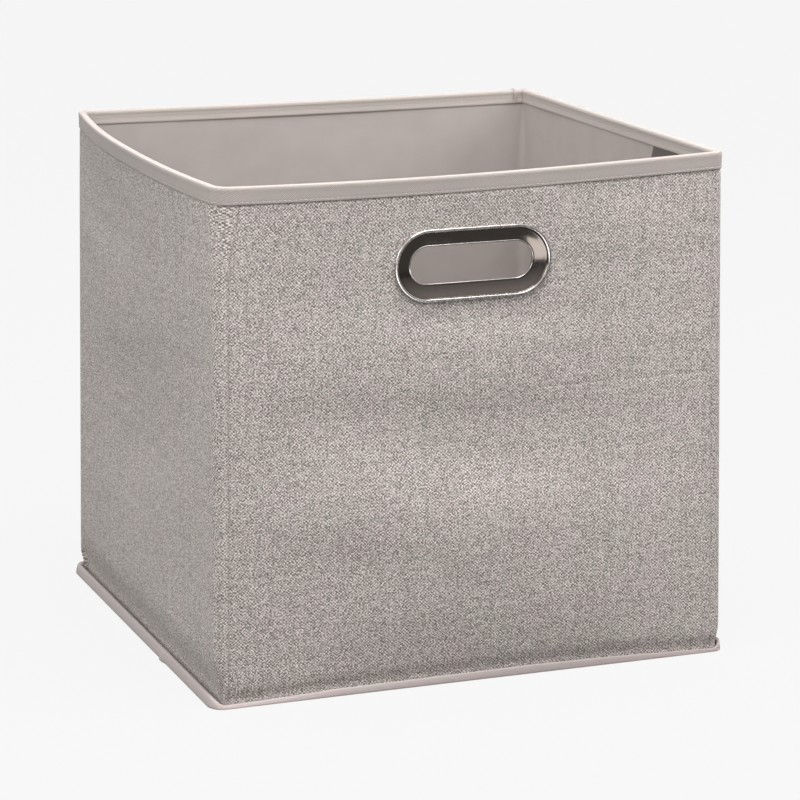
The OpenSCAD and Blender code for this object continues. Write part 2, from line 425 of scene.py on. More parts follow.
def makeWeave():
    # Plain weave of heathered yarns: light warp, darker weft, uneven from yarn to yarn
    material, tree, shader = newMaterial("LinenWeave")
    n = Nodes(tree)
    place = n.add("ShaderNodeUVMap", uv_map="ClothMap").outputs[0]
    wobble = n.noise(place, weave["wobbleScale"], 1.0)
    across, up, _ = n.split(place)
    shift = n.math("MULTIPLY", wobble, weave["wobble"])
    evenU = n.math("ADD", n.math("MULTIPLY", across, 1 / weave["pitch"]), shift)
    evenV = n.math("SUBTRACT", n.math("MULTIPLY", up, weave["closer"] / weave["pitch"]),
                   shift)
    # each yarn wanders a little by itself; the odd factors keep neighbours apart in the noise
    alongWarp = n.noise(n.join(n.math("MULTIPLY", n.math("FLOOR", evenU), 7.31),
                               n.math("MULTIPLY", evenV, weave["changes"])), 1.0, 1.0)
    alongWeft = n.noise(n.join(n.math("MULTIPLY", evenU, weave["changes"]),
                               n.math("MULTIPLY", n.math("FLOOR", evenV), 5.17)), 1.0, 1.0)
    u = n.math("ADD", evenU, n.around(alongWeft, weave["wander"]))
    v = n.math("ADD", evenV, n.around(alongWarp, weave["wander"]))
    warp, weft = n.math("FLOOR", u), n.math("FLOOR", v)
    over = n.math("PINGPONG", n.math("ADD", warp, weft), 1.0)  # 1 where the warp is on top
    warpRound = n.math("ABSOLUTE", n.math("SINE", n.math("MULTIPLY", u, math.pi)))
    weftRound = n.math("ABSOLUTE", n.math("SINE", n.math("MULTIPLY", v, math.pi)))
    crown = n.math("MULTIPLY", warpRound, weftRound)
    yarn = n.math("ADD", n.math("MULTIPLY", n.random(warp), weave["yarnTone"]),
                  n.math("MULTIPLY", n.random(n.math("ADD", weft, 311.0)), weave["yarnTone"]))
    slub = n.math("ADD", n.around(alongWarp, weave["slubTone"]),
                  n.around(alongWeft, weave["slubTone"]))
    cell = n.random(n.math("ADD", n.math("MULTIPLY", warp, 1.37), n.math("MULTIPLY", weft, 91.7)))
    patchy = n.noise(n.join(n.math("MULTIPLY", u, weave["patchScale"]),
                            n.math("MULTIPLY", v, weave["patchScale"])), 1.0, 1.0)
    depth = n.math("ADD", n.spread(patchy, *weave["contrast"]),
                   n.span(cell, 0, 1, -weave["cellTone"], weave["cellTone"]))
    fibre = n.noise(place, weave["fibreScale"], 2.0, 0.7)
    tone = n.math("MULTIPLY", n.span(over, 0, 1, -1, 1), depth)
    tone = n.math("ADD", n.math("ADD", tone, weave["middle"]), yarn)
    tone = n.math("ADD", tone, n.math("ADD", slub, n.around(fibre, weave["fibreTone"])))
    cloth = n.blend(n.span(tone, 0, 1, 0, 1), weave["dark"], weave["light"])
    # painted shade between the yarns and a faint painted highlight on their crowns, from the same
    # relief as the bump
    shade = n.span(crown, 0.0, 0.8, *weave["shade"])
    patch = n.span(n.noise(place, weave["dyeScale"], 2.0), 0.35, 0.65, 0, 1)
    n.feed(shader.inputs["Base Color"],
           n.times(n.tint(cloth, shade), n.blend(patch, weave["cool"], weave["rosy"])))
    shader.inputs["Roughness"].default_value = weave["roughness"]
    shader.inputs["Sheen Weight"].default_value = weave["sheen"]
    shader.inputs["Sheen Roughness"].default_value = weave["sheenRoughness"]
    shader.inputs["Specular IOR Level"].default_value = weave["specular"]
    n.feed(shader.inputs["Normal"], n.bump(crown, weave["bump"], weave["bumpShare"]))
    return material


felt = {
    "colour": (0.395, 0.352, 0.332, 1),
    "deep": (0.338, 0.302, 0.285, 1),
    "fibreScale": 1900.0,
    "cloudScale": 55.0,
    "fibreShare": 0.55,  # how much of the mottle is fibre, the rest is cloud
    "cloudShare": 0.45,
    "bump": 0.12 * mm,
    "bumpShare": 0.6,
    "roughness": 0.88,
    "sheen": 0.15,
    "specular": 0.25,
}


def makeFelt():
    # Smooth pressed non-woven lining with a faint fibrous mottle
    material, tree, shader = newMaterial("FeltLining")
    n = Nodes(tree)
    place = n.add("ShaderNodeUVMap", uv_map="ClothMap").outputs[0]
    fibre = n.noise(place, felt["fibreScale"], 3.0, 0.65)
    cloud = n.noise(place, felt["cloudScale"], 2.0)
    share = n.math("ADD", n.math("MULTIPLY", n.spread(fibre, 0, 1), felt["fibreShare"]),
                   n.math("MULTIPLY", n.spread(cloud, 0, 1), felt["cloudShare"]))
    n.feed(shader.inputs["Base Color"], n.blend(share, felt["deep"], felt["colour"]))
    shader.inputs["Roughness"].default_value = felt["roughness"]
    shader.inputs["Sheen Weight"].default_value = felt["sheen"]
    shader.inputs["Specular IOR Level"].default_value = felt["specular"]
    n.feed(shader.inputs["Normal"], n.bump(fibre, felt["bump"], felt["bumpShare"]))
    return material


tape = {
    "colour": (0.50, 0.45, 0.42, 1),
    "deep": (0.32, 0.284, 0.262, 1),
    "hemColour": (0.455, 0.396, 0.384, 1),
    "hemDeep": (0.31, 0.267, 0.259, 1),
    "rib": 1.05 * mm,  # from rib to rib of the tape's fine twill
    "mottleScale": 900.0,
    "driftScale": 35.0,
    "shares": (0.75, 0.5, 0.15),  # how much the ribs (painted shade in the twill's grooves), the mottle and the drift show
    "bump": 0.16 * mm,
    "bumpShare": 0.7,
    "roughness": 0.8,
    "sheen": 0.2,
    "specular": 0.3,
    "cool": (0.985, 1.0, 0.99, 1),  # slow drift of the dye between two tints
    "rosy": (1.02, 0.98, 0.99, 1),
    "label": (0.075, 0.058, 0.05, 1),
    "labelDeep": (0.045, 0.035, 0.03, 1),
}


def makeTape(name, colour, deep):
    # Fine diagonal twill of a binding tape
    material, tree, shader = newMaterial(name)
    n = Nodes(tree)
    place = n.add("ShaderNodeUVMap", uv_map="ClothMap").outputs[0]
    across, up, _ = n.split(place)
    diagonal = n.math("MULTIPLY", n.math("ADD", across, up), 1 / tape["rib"])
    thread = n.math("MULTIPLY", n.math("SUBTRACT", across, up), 0.5 / tape["rib"])
    rib = n.math("ABSOLUTE", n.math("SINE", n.math("MULTIPLY", diagonal, math.pi)))
    bead = n.math("ABSOLUTE", n.math("SINE", n.math("MULTIPLY", thread, math.pi)))
    height = n.math("MULTIPLY", rib, n.span(bead, 0, 1, 0.6, 1))
    mottle = n.noise(place, tape["mottleScale"], 2.0)
    slow = n.noise(place, tape["driftScale"], 2.0)
    ribs, flecks, clouds = tape["shares"]
    # the ribs' part darkens the twill's grooves and lightens its ribs: painted shade
    share = n.math("ADD", n.math("MULTIPLY", height, ribs),
                   n.math("ADD", n.math("MULTIPLY", mottle, flecks),
                          n.math("MULTIPLY", slow, clouds)))
    drift = n.blend(n.span(slow, 0.4, 0.65, 0, 1), tape["cool"], tape["rosy"])
    n.feed(shader.inputs["Base Color"],
           n.times(n.blend(n.span(share, 0.2, 1.15, 0, 1), deep, colour), drift))
    shader.inputs["Roughness"].default_value = tape["roughness"]
    shader.inputs["Sheen Weight"].default_value = tape["sheen"]
    shader.inputs["Specular IOR Level"].default_value = tape["specular"]
    n.feed(shader.inputs["Normal"], n.bump(height, tape["bump"], tape["bumpShare"]))
    return material


sewingThread = {
    "colours": ((0.38, 0.34, 0.315, 1), (0.58, 0.53, 0.50, 1)),
    "plyScale": 900.0,
    "bump": 0.05 * mm,
    "bumpShare": 0.6,
    "roughness": 0.55,
    "specular": 0.4,
}


def makeThread():
    # Twisted sewing thread in the tape's own colour
    material, tree, shader = newMaterial("SewingThread")
    n = Nodes(tree)
    place = n.add("ShaderNodeTexCoord").outputs["Object"]
    ply = n.add("ShaderNodeTexWave", wave_type="BANDS", bands_direction="DIAGONAL")
    n.feed(ply.inputs["Vector"], place)
    ply.inputs["Scale"].default_value = sewingThread["plyScale"]
    twist = ply.outputs["Fac"]
    n.feed(shader.inputs["Base Color"], n.blend(twist, *sewingThread["colours"]))
    shader.inputs["Roughness"].default_value = sewingThread["roughness"]
    shader.inputs["Specular IOR Level"].default_value = sewingThread["specular"]
    n.feed(shader.inputs["Normal"],
           n.bump(twist, sewingThread["bump"], sewingThread["bumpShare"]))
    return material


gunmetal = {
    "colour": (0.17, 0.146, 0.132, 1),
    "edge": (0.60, 0.565, 0.545, 1),  # lighter copy of the plating on the rolled bead: painted highlight
    # lighter copy of the plating on the grip's inner lip: painted highlight
    "lip": (0.47, 0.44, 0.42, 1),
    "roughness": 0.15,
    "edgeRougher": 1.6,
    "grainScale": 420.0,
    "grainDark": 0.85,  # how dark the grain gets, as a share of the colour
    "grainRough": (0.8, 1.3),  # the least and most of the roughness in the grain
    "bump": 0.01 * mm,
    "bumpShare": 0.3,
}


def makeGunmetal(name, colour, roughness):
    # Polished plating with a faint drawn grain
    material, tree, shader = newMaterial(name)
    n = Nodes(tree)
    place = n.add("ShaderNodeTexCoord").outputs["Object"]
    grain = n.noise(place, gunmetal["grainScale"], 3.0)
    shader.inputs["Metallic"].default_value = 1.0
    dark = tuple(gunmetal["grainDark"] * c for c in colour[:3]) + (1,)
    n.feed(shader.inputs["Base Color"], n.blend(grain, dark, colour))
    least, most = gunmetal["grainRough"]
    n.feed(shader.inputs["Roughness"], n.spread(grain, roughness * least, roughness * most))
    n.feed(shader.inputs["Normal"], n.bump(grain, gunmetal["bump"], gunmetal["bumpShare"]))
    return material


cardboard = {
    "colours": ((0.24, 0.19, 0.14, 1), (0.36, 0.29, 0.22, 1)),
    "fleckScale": 700.0,
    "bump": 0.1 * mm,
    "bumpShare": 0.5,
    "roughness": 0.9,
}


def makeCardboard():
    # Grey-brown board with flecks and pressed fibres
    material, tree, shader = newMaterial("GreyBoard")
    n = Nodes(tree)
    place = n.add("ShaderNodeTexCoord").outputs["Object"]
    fleck = n.noise(place, cardboard["fleckScale"], 4.0, 0.7)
    n.feed(shader.inputs["Base Color"],
           n.blend(n.span(fleck, 0.35, 0.65, 0, 1), *cardboard["colours"]))
    shader.inputs["Roughness"].default_value = cardboard["roughness"]
    n.feed(shader.inputs["Normal"], n.bump(fleck, cardboard["bump"], cardboard["bumpShare"]))
    return material


weaveCloth = makeWeave()
feltCloth = makeFelt()
rimCloth = makeTape("RimTape", tape["colour"], tape["deep"])
hemCloth = makeTape("HemTape", tape["hemColour"], tape["hemDeep"])
labelCloth = makeTape("LabelRibbon", tape["label"], tape["labelDeep"])
threadCloth = makeThread()
gunmetalPlate = makeGunmetal("GunmetalPlating", gunmetal["colour"], gunmetal["roughness"])
# lighter copies of the plating for the bead and the lip: painted highlight
paintedHighlightEdge = makeGunmetal("PolishedEdge", gunmetal["edge"],
                            gunmetal["edgeRougher"] * gunmetal["roughness"])
paintedHighlightLip = makeGunmetal("PolishedLip", gunmetal["lip"], gunmetal["roughness"])
greyBoard = makeCardboard()
print("materials made")

# grip hole, shared by cloth, board, lining and handle

grip = {
    "aside": -3.1 * mm,  # where fitting by hand leaves the handle, from the middle of the wall
    "up": 0.8 * mm,
    "clothHole": 19.7 * mm,  # half height of the hole in the cloth and the board
    "liningHole": 15.0 * mm,
    "flange": 10.5 * mm,  # from the outer edge to the grip hole
    "arcSteps": 28,
    "leanOver": 15 * mm,  # how far up and down the wall's lean is measured
}
gripMiddle = (gripLow + gripHigh) / 2 + Vector((grip["aside"], 0, grip["up"]))
gripHalfTall = (gripHigh.z - gripLow.z) / 2
gripHalfRun = (gripHigh.x - gripLow.x) / 2 - gripHalfTall
slotRadius = gripHalfTall - grip["flange"]


def gripDistance(x, z):
    # How far a point is from the line between the two round ends
    beyond = np.maximum(np.abs(x - gripMiddle.x) - gripHalfRun, 0)
    return np.hypot(beyond, z - gripMiddle.z)


def touchedBy(quads):
    # the grid's points that any of the marked quads touches
    rows, columns = quads.shape
    touched = np.zeros((rows + 1, columns + 1), bool)
    for i, j in ((0, 0), (1, 0), (0, 1), (1, 1)):
        touched[i:rows + i, j:columns + j] |= quads
    return touched


def openForGrip(points, rows, columns, radius):
    # Leaves out the quads inside the oval and pulls the hole's edge onto it
    grid = points.reshape(rows, columns, 3)
    middle = (grid[:-1, :-1] + grid[1:, :-1] + grid[:-1, 1:] + grid[1:, 1:]) / 4
    skip = (gripDistance(middle[..., 0], middle[..., 2]) < radius) & (middle[..., 1] < 0)
    for i, j in zip(*np.nonzero(touchedBy(skip) & touchedBy(~skip))):
        x, z = grid[i, j, 0] - gripMiddle.x, grid[i, j, 2] - gripMiddle.z
        core = min(max(x, -gripHalfRun), gripHalfRun)
        away = math.hypot(x - core, z)
        grid[i, j, 0] = gripMiddle.x + core + (x - core) / away * radius
        grid[i, j, 2] = gripMiddle.z + z / away * radius
    return skip


# outer cloth and lining

hem = {
    "pitch": 3.0 * mm,
    # how tall it shows: on the left, and at shares along the front
    "leftTall": 6.8 * mm,
    "frontShare": [0.0, 0.06, 0.22, 0.62, 0.78, 0.95, 1.0],
    "frontTall": [2.1 * mm, 2.4 * mm, 4.6 * mm, 5.6 * mm, 4.9 * mm, 2.9 * mm, 2.6 * mm],
    "out": {"backRight": 2.6 * mm, "backLeft": 3.2 * mm, "near": 3.2 * mm, "frontRight": 1.1 * mm},
    "lapShare": 0.675,  # where the strip's ends overlap, along the left side
    "lapOver": 9 * mm,
    "lapLift": 1.2 * mm,
    "lapFade": 5 * mm,
    "lapRows": [-0.35 * mm, 0.05 * mm, 0.3 * mm],  # extra points at the lap's edge
    "keepFolded": 0.124,  # share of its depth left when the bin lies flat
}
hemCorners = np.array([hem["out"][n] for n in cornerNames])


def hemOutAt(s):
    # how far the strip stands out of the wall, from corner to corner
    side, share, corner = placeOnWay(s)
    last, following = hemCorners[(side + 3) % 4], hemCorners[side]
    return np.where(corner, following, last + (following - last) * share)


def hemHeight(s):
    # how tall the strip shows at each place round the foot
    side, share, corner = placeOnWay(s)
    low, high = hem["frontTall"][0], hem["frontTall"][-1]
    front = np.interp(share, hem["frontShare"], hem["frontTall"])
    tall = np.full_like(s, hem["leftTall"])
    tall = np.where((side == 3) & ~corner, front, tall)
    left, turned = hem["leftTall"], smoothStep(share)
    tall = np.where((side == 2) & corner, left + (low - left) * turned, tall)
    return np.where((side == 3) & corner, high + (left - high) * turned, tall)


outerCloth = {
    "pitch": 3.0 * mm,
    "liningPitch": 4.0 * mm,
    "foot": 1.5 * mm,  # lowest row, inside the hem
    "underTape": 4 * mm,  # how far it stops below the rim
    "apart": 0.6 * mm,  # least room between the outer cloth and the lining
    "creaseDown": 132 * mm,  # a packing crease across the front
    "creaseDeep": 0.24 * mm,
    "creaseWide": 0.9 * mm,
    "creaseFade": (1.3, 0.2),  # it comes in over the first part of the front
    "tapePull": 0.3 * mm,  # how far the tape's stitching draws the cloth in
    "hemPull": {"left": 4.2 * mm, "other": 1.9 * mm},
    "hemPullTall": {"left": 13 * mm, "other": 6.0 * mm},
    "tapePullTall": 1.1 * mm,
    "tapePullDown": 0.3 * mm,
    "seamIn": 2.4 * mm,  # from a corner to the row of stitches beside it
    "seamDeep": 0.6 * mm,
    "seamWide": 0.6 * mm,
    "seamUp": 10 * mm,  # where the seams' stitches start, over the floor
    "seamDown": 2 * mm,  # and where they end, under the tape
    "threadIn": 0.75,  # share of the seam's depth at which its thread lies
    # extra rows and columns of points: at the crease, under the tape, over the hem, by a seam
    "creaseRows": [-1.2 * mm, -0.5 * mm, 0, 0.5 * mm, 1.2 * mm],
    "tapeRows": [-2.6 * mm, -1.6 * mm, -0.9 * mm, -0.3 * mm, 0.4 * mm, 1.1 * mm],
    "hemRows": [2.2 * mm, 3.4 * mm, 4.0 * mm, 5.2 * mm, 6.3 * mm, 7.0 * mm, 8.4 * mm,
                9.2 * mm, 9.9 * mm, 11.5 * mm, 13.6 * mm, 16.4 * mm],
    "seamRows": [-1.4 * mm, -0.7 * mm, -0.25 * mm, 0.25 * mm, 0.7 * mm, 1.4 * mm],
}
seams = {"Front": [runStart[6] + outerCloth["seamIn"], runStart[7] - outerCloth["seamIn"]],
         "Back": [runStart[3] - outerCloth["seamIn"]],
         "RightRear": [runStart[2] + outerCloth["seamIn"]]}


def clothPull(s, z):
    # how far sewing draws the outer cloth inwards
    c = outerCloth
    side, share, corner = placeOnWay(s)
    onLeft = side == 2
    tapeFoot = topZ - tapeTall - c["tapePullDown"]
    under = np.exp(-((z - tapeFoot) / c["tapePullTall"]) ** 2) * c["tapePull"]
    deep = np.where(onLeft, c["hemPull"]["left"], c["hemPull"]["other"])
    tall = np.where(onLeft, c["hemPullTall"]["left"], c["hemPullTall"]["other"])
    above = np.clip(z - hemHeight(s), 0, None)
    pull = under + deep * np.exp(-(above / tall) ** 2)
    for row in sum(seams.values(), []):
        pull = pull + c["seamDeep"] * np.exp(-((s - row) / c["seamWide"]) ** 2)
    crease = np.exp(-((z - (topZ - c["creaseDown"])) / c["creaseWide"]) ** 2) * c["creaseDeep"]
    rate, late = c["creaseFade"]
    onFront = (side == 3) & ~corner
    return pull + np.where(onFront, crease * smoothStep(share * rate - late), 0)


def clothSheet(name, length, low, high, inset, material, inward, pitch):
    # One length of cloth on the wall, from low to high; inward turns its face to the inside
    a, b = cuts[lengths.index(length)], cuts[lengths.index(length) + 1]
    s = wayStations(a, b, pitch)
    z = steps(low, high, pitch)
    if not inward:
        crease = topZ - outerCloth["creaseDown"]
        underTape = topZ - tapeTall
        z = np.sort(np.concatenate([z, crease + np.array(outerCloth["creaseRows"]),
                                    underTape + np.array(outerCloth["tapeRows"]),
                                    outerCloth["hemRows"]]))
        near = np.array(outerCloth["seamRows"])
        s = np.sort(np.concatenate([s] + [row + near for row in seams.get(length, [])]))
    sGrid, zGrid = np.meshgrid(s, z)
    pull = clothPull(sGrid, zGrid)
    depth = np.maximum(inset, pull + outerCloth["apart"]) if inward else inset + pull
    points = wallPoint(sGrid, zGrid, depth)
    flat = points.reshape(-1, 3)
    skip = None
    if length == "Front":
        hole = grip["liningHole" if inward else "clothHole"]
        skip = openForGrip(flat, len(z), len(s), hole)
    uv = np.stack([sGrid.ravel(), flat[:, 2]], 1)
    faces = gridFaces(len(z), len(s), skip=skip, flip=inward)
    piece = newPiece(name, flat, faces, material, uv)
    dropLoose(piece)
    foldAcross(piece)
    return piece, (b - a, high - low)


def dropLoose(piece):
    # Removes points that no face uses
    mesh = piece.data
    used = np.zeros(len(mesh.vertices), bool)
    corners = np.zeros(len(mesh.loops), int)
    mesh.loops.foreach_get("vertex_index", corners)
    used[corners] = True
    if used.all():
        return
    edit = bmesh.new()
    edit.from_mesh(mesh)
    bmesh.ops.delete(edit, geom=[v for v in edit.verts if not v.link_faces], context="VERTS")
    edit.to_mesh(mesh)
    edit.free()


panels = {
    "RightRear": ["right_rear"], "Back": ["back"], "Left": ["left_rear"],
    "Front": ["front", "left_front"], "RightFront": ["right_front"],
}
for length in lengths:
    piece, flat = clothSheet("OuterCloth" + length, length, outerCloth["foot"],
                             topZ - outerCloth["underTape"], 0.0, weaveCloth, False,
                             outerCloth["pitch"])
    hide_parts(*[p + "_outer" for p in panels[length]])

for length in lengths:
    piece, flat = clothSheet("LiningCloth" + length, length, insertLow.z,
                             topZ - outerCloth["underTape"], wallThick, feltCloth, True,
                             outerCloth["liningPitch"])
    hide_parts(*[p + "_lining" for p in panels[length]])

# cardboard inside the walls

stiffener = {
    "pitch": 8 * mm,
    "cornerGap": 2.5 * mm,
    "foldGap": 3 * mm,
    "foldClear": 0.3 * mm,  # kept free beside the fold's own line
    "fromLining": 0.2 * mm,
    "least": 0.3 * mm,  # thinnest that the card is pressed
    "low": 24 * mm,  # its lower edge, clear of where the hem draws the cloth in
    "underTape": 3 * mm,  # from the tape's lower edge to its upper edge
}
gap = stiffener["cornerGap"]
leftMiddle = runStart[4] + runs[4] / 2 - creaseY
boardRuns = {
    "back": (runStart[2] + gap, runStart[3] - gap, "base_and_back"),
    "left_rear": (runStart[4] + gap, leftMiddle - stiffener["foldGap"], "left_rear_panel"),
    "left_front": (leftMiddle + stiffener["foldGap"], runStart[5] - gap, "left_front_panel"),
    "front": (runStart[6] + gap, runStart[7] - gap, "front_wall"),
    "right_front": (runStart[8] + gap, wayRound - stiffener["foldGap"] / 2, "right_front_panel"),
    "right_rear": (stiffener["foldGap"] / 2, runStart[1] - gap, "right_rear_panel"),
}


def boardSlab(name, a, b, body):
    # A bowed card between the cloth and the lining
    high = topZ - tapeTall - stiffener["underTape"]
    s, z = steps(a, b, stiffener["pitch"]), steps(stiffener["low"], high, stiffener["pitch"])
    sGrid, zGrid = np.meshgrid(s, z)
    rows, columns = sGrid.shape
    near = clothThick + clothPull(sGrid, zGrid)  # the card bends in with the cloth
    far = np.minimum(near + boardThick, wallThick - stiffener["fromLining"])
    far = np.maximum(near + stiffener["least"], far)
    outside = wallPoint(sGrid, zGrid, near).reshape(-1, 3)
    inside = wallPoint(sGrid, zGrid, far).reshape(-1, 3)
    skip = None
    if name == "front":
        skip = openForGrip(outside, rows, columns, grip["clothHole"])
        openForGrip(inside, rows, columns, grip["clothHole"])
    elif name != "back":  # cut away where the bowed wall would pass the fold's own line
        past = np.abs(outside[:, 0].reshape(rows, columns)) > creaseX - stiffener["foldClear"]
        skip = past[:-1, :-1] | past[1:, :-1] | past[:-1, 1:] | past[1:, 1:]
    faces = slabFaces(gridFaces(rows, columns, skip=skip), rows * columns)
    words = "".join(w.capitalize() for w in name.split("_"))
    piece = newPiece("Board" + words, np.concatenate([outside, inside]), faces, greyBoard,
                     smooth=False)
    dropLoose(piece)
    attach(piece, body)
    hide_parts(name + "_board")
    return piece


for name, (a, b, body) in boardRuns.items():
    boardSlab(name, a, b, body)
print("boards made")

# binding over the rim

rimTape = {
    "pitch": 2.5 * mm,
    "insideTall": 9.4 * mm,
    "stitchUp": 1.5 * mm,  # from the lower edge to the row of stitches, outside
    "insideStitchUp": 3.4 * mm,
    "lapOver": 1.2 * mm,  # how far one end of the tape lies over the other
    "lapRows": [0.2, 0.5, 1.2, 1.6],  # rows of points at the lap, in laps
    "lapFrom": 1.6,  # where the tape starts to rise over its neighbour, in laps
    "lapRise": 0.6,
    "lapLift": 1.1,  # how far it rises, in thicknesses
    "threadOut": 0.55,  # how far out the threads lie on the tape, in thicknesses
    "threadIn": 0.6,
    "waves": 0.6,  # how much of the cloth's waves the tape follows
}


def rimSection():
    # (inset, drop below the rim) of the folded tape, from its outer edge over to its inner edge
    t, w, tall, inner = tapeThick, wallThick, tapeTall, rimTape["insideTall"]
    up, inUp = rimTape["stitchUp"], rimTape["insideStitchUp"]
    outside = [(0.15 * mm, tall), (-0.5 * t, tall + 0.05 * mm), (-0.85 * t, tall - 0.35 * mm),
               (-0.9 * t, tall - up + 0.5 * mm), (-0.55 * t, tall - up),
               (-0.9 * t, tall - up - 0.6 * mm),
               (-0.95 * t, tall - up - 2.0 * mm), (-1.0 * t, 4.6 * mm), (-1.1 * t, 3.4 * mm),
               (-1.3 * t, 2.3 * mm), (-1.25 * t, 1.2 * mm), (-0.85 * t, 0.4 * mm),
               (-0.1 * t, 0.05 * mm), (0.3 * w, 0.0)]
    inside = [(0.72 * w, 0.0), (w + 0.3 * t, 0.15 * mm), (w + 1.1 * t, 0.65 * mm),
              (w + 1.6 * t, 1.6 * mm), (w + 1.6 * t, 2.5 * mm), (w + 0.9 * t, 3.7 * mm),
              (w + 1.15 * t, inner - inUp - 0.8 * mm),
              (w + 0.6 * t, inner - inUp), (w + 1.1 * t, inner - inUp + 0.8 * mm),
              (w + 1.15 * t, inner - 0.8 * mm), (w + 0.9 * t, inner - 0.1 * mm),
              (w + 0.2 * t, inner), (w - 0.1 * mm, inner - 0.1 * mm)]
    return np.array(outside + inside)


def sweepTape(name, a, b, section, material, pitch, lap=0.0):
    # carries a section of (inset, drop) along the rim from a to b; a lap lies over its neighbour
    s = wayStations(a, b, pitch)
    if lap:
        s = np.sort(np.concatenate([s, b - lap * np.array(rimTape["lapRows"])]))
    inset, drop = section[:, 0], section[:, 1]
    around = np.concatenate([[0], np.cumsum(np.hypot(np.diff(inset), np.diff(drop)))])
    sGrid, insetGrid = np.meshgrid(s, inset)
    dropGrid = np.meshgrid(s, drop)[1]
    if lap:
        risen = (sGrid - (b - rimTape["lapFrom"] * lap)) / (rimTape["lapRise"] * lap)
        lift = smoothStep(risen) * rimTape["lapLift"] * tapeThick
        insetGrid = insetGrid + np.where(insetGrid > wallThick / 2, lift, -lift)
        # its top lies higher, its edges a little lower
        dropGrid = dropGrid - np.where(dropGrid < 1 * mm, 0.5 * lift, -0.2 * lift)
    points = wallPoint(sGrid, topZ - dropGrid, insetGrid, waves=rimTape["waves"]).reshape(-1, 3)
    uv = np.stack([sGrid.ravel(), np.repeat(around, len(s))], 1)
    piece = newPiece(name, points, gridFaces(len(section), len(s)), material, uv)
    roundOff(piece, 1)
    return piece, (b - a, float(around[-1]))


def applyModifiers(piece):
    # Makes the modifiers' result the piece's own mesh
    bpy.context.view_layer.update()
    shaped = piece.evaluated_get(bpy.context.evaluated_depsgraph_get())
    made = bpy.data.meshes.new_from_object(shaped)
    piece.modifiers.clear()
    piece.data = made


def roundOff(piece, levels):
    smoother = piece.modifiers.new("Round", "SUBSURF")
    smoother.levels = smoother.render_levels = levels
    applyModifiers(piece)


def thicken(piece, thickness):
    thick = piece.modifiers.new("Thick", "SOLIDIFY")
    thick.thickness = thickness
    thick.offset = 0
    applyModifiers(piece)


stitch = {
    "long": 2.4 * mm,
    "pitch": 3.1 * mm,
    "thick": 0.5 * mm,
    "slant": 0.12 * mm,
    "rings": 6,
    "sides": 6,
    "thinEnds": 0.35,  # share of the thickness where it goes into the cloth
    "proud": 0.4,  # how far its middle stands off the cloth, in thicknesses
}


def stitchRow(name, start, end, inset, inward=False, waves=rimTape["waves"]):
    # single stitches on the wall from start to end, each (distance round, height)
    start, end = np.array(start), np.array(end)
    reach = float(np.linalg.norm(end - start))
    ahead = (end - start) / reach
    aside = np.array([-ahead[1], ahead[0]])
    count = int(reach / stitch["pitch"])
    sides = stitch["sides"]
    share = np.linspace(-0.5, 0.5, stitch["rings"])
    rise = np.cos(share * math.pi) ** 0.5
    girth = stitch["thick"] / 2 * (stitch["thinEnds"] + (1 - stitch["thinEnds"]) * rise)
    out = 1.0 if inward else -1.0
    points, faces = [], []
    for k in range(count):
        middle = start + ahead * reach * (k + 0.5) / count
        first = len(points)
        for i in range(len(share)):
            lean = stitch["slant"] * math.sin(share[i] * math.pi)
            for j in range(sides):
                angle = j * 2 * math.pi / sides
                place = (middle + ahead * share[i] * stitch["long"]
                         + aside * (girth[i] * math.sin(angle) + lean))
                lift = rise[i] * stitch["proud"] * stitch["thick"] + girth[i] * math.cos(angle)
                points.append((place[0], place[1], inset + out * lift))
        for i in range(len(share) - 1):
            for j in range(sides):
                a, b, q = first + i * sides, first + (i + 1) * sides, (j + 1) % sides
                quad = [a + j, b + j, b + q, a + q]
                faces.append(quad[::-1] if inward else quad)
        last = first + (len(share) - 1) * sides
        caps = [[first + j for j in range(sides)], [last + j for j in range(sides)][::-1]]
        faces += [c[::-1] for c in caps] if inward else caps
    table = np.array(points)
    placed = wallPoint(table[:, 0], table[:, 1], table[:, 2], waves=waves)
    return newPiece(name, placed, faces, threadCloth)


for index, length in enumerate(lengths):
    a, b = cuts[index], cuts[index + 1]
    over = rimTape["lapOver"] if length == "RightRear" else 0
    piece, flat = sweepTape("RimTape" + length, a, b + over, rimSection(), rimCloth,
                            rimTape["pitch"], over)
    foldAcross(piece)
    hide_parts(*[p + "_binding" for p in panels[length]])
    outsideUp = topZ - tapeTall + rimTape["stitchUp"]
    insideUp = topZ - rimTape["insideTall"] + rimTape["insideStitchUp"]
    for where, up, inset in (
            ("Outside", outsideUp, -rimTape["threadOut"] * tapeThick),
            ("Inside", insideUp, wallThick + rimTape["threadIn"] * tapeThick)):
        row = stitchRow("RimStitches" + where + length, (a, up), (b, up), inset, where == "Inside")
        foldAcross(row)
for length, rows in seams.items():
    for k, row in enumerate(rows):
        low = (row, outerCloth["seamUp"])
        high = (row, topZ - tapeTall - outerCloth["seamDown"])
        line = stitchRow("SeamStitches%s%d" % (length, k + 1), low, high,
                         outerCloth["threadIn"] * outerCloth["seamDeep"], waves=1.0)
        foldAcross(line)
print("cloth, lining, tape and stitches made")

# hem round the foot, and the cloth base

